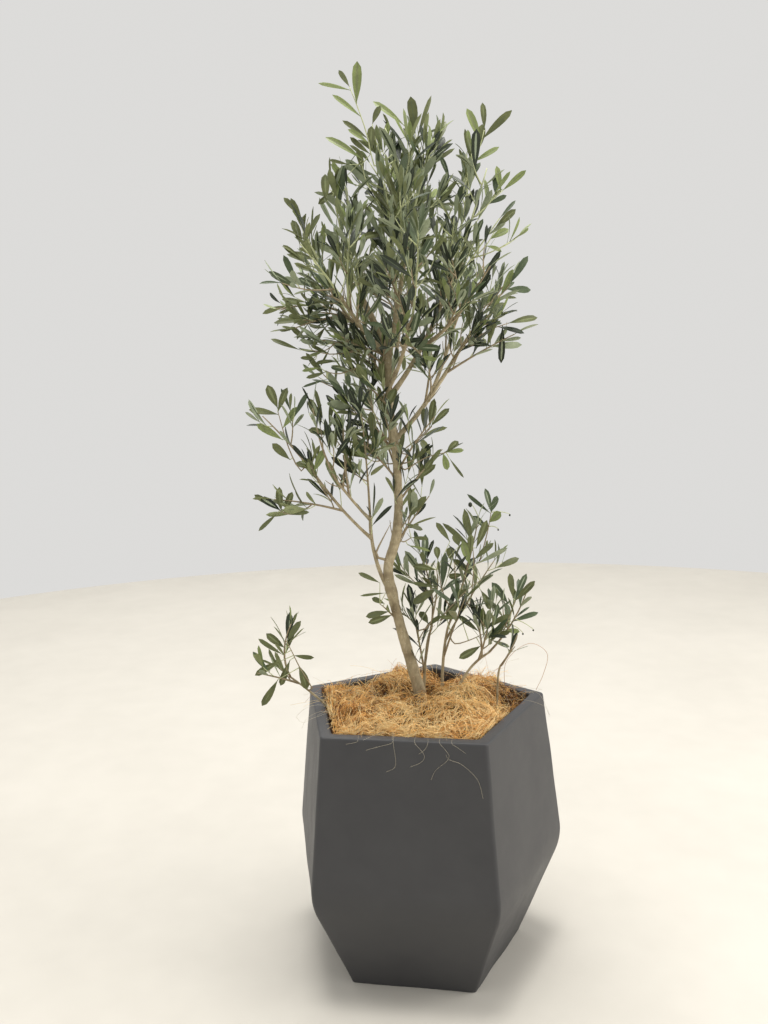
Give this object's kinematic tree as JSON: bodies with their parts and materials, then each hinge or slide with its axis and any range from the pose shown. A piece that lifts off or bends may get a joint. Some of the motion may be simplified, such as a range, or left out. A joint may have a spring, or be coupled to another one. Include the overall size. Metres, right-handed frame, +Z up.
{
  "type": "potted olive tree",
  "caption": "Slender young olive tree with an open crown, low left-hand boughs and suckers at its foot, standing in a tall dark five-sided planter topped with coir fibre.",
  "frame": {"origin": "middle of the planter's flat underside, where it stands on the floor", "axes": "+Z up along the planter and the trunk, -Y towards the picture's viewer, +X to the viewer's right"},
  "size_m": [0.4608, 0.4107, 1.268],
  "materials": {
    "planter_finish": "matte, very fine grain, dark slate grey",
    "soil": "rough potting soil",
    "coir_fibre": "matt curled coconut fibre",
    "bark": "matt grey-brown young bark",
    "foliage": "leathery leaves, grey-green above and silvery below"
  },
  "bodies": {
    "root": {"planter": "planter_finish", "soil": "soil", "coir_mulch": "coir_fibre", "trunk": "bark", "bough_leader": "bark", "bough_right_high": "bark", "bough_right_low": "bark", "bough_left": "bark", "bough_front": "bark", "bough_front_left": "bark", "bough_front_right": "bark", "bough_back": "bark", "bough_back_left": "bark", "bough_back_right": "bark", "bough_left_low": "bark", "bough_left_outer": "bark", "bough_left_inner": "bark", "sucker_stem_inner": "bark", "sucker_stem_tall": "bark", "sucker_stem_outer": "bark", "sucker_stem_edge": "bark", "sucker_stem_left": "bark", "leaves_crown_top": "foliage", "leaves_crown_top_middle": "foliage", "leaves_crown_top_left": "foliage", "leaves_crown_top_right": "foliage", "leaves_crown_right_upper": "foliage", "leaves_crown_right_middle": "foliage", "leaves_crown_right": "foliage", "leaves_crown_left_upper": "foliage", "leaves_crown_left": "foliage", "leaves_crown_left_low": "foliage", "leaves_crown_middle": "foliage", "leaves_crown_middle_back": "foliage", "leaves_crown_front": "foliage", "leaves_crown_front_low": "foliage", "leaves_crown_front_left": "foliage", "leaves_crown_front_right": "foliage", "leaves_crown_back": "foliage", "leaves_crown_back_low": "foliage", "leaves_crown_back_left": "foliage", "leaves_crown_back_right": "foliage", "leaves_lower_back": "foliage", "leaves_lower_left_outer": "foliage", "leaves_lower_left_inner": "foliage", "leaves_lower_left_tuft": "foliage", "leaves_lower_middle": "foliage", "leaves_lower_right_upper": "foliage", "leaves_lower_right": "foliage", "leaves_lower_shoot": "foliage", "leaves_lower_sprig": "foliage", "leaves_sucker_inner": "foliage", "leaves_sucker_tall": "foliage", "leaves_sucker_middle": "foliage", "leaves_sucker_outer": "foliage", "leaves_sucker_edge": "foliage", "leaves_sucker_left": "foliage", "leaves_sucker_left_low": "foliage"}
  },
  "joints": []
}
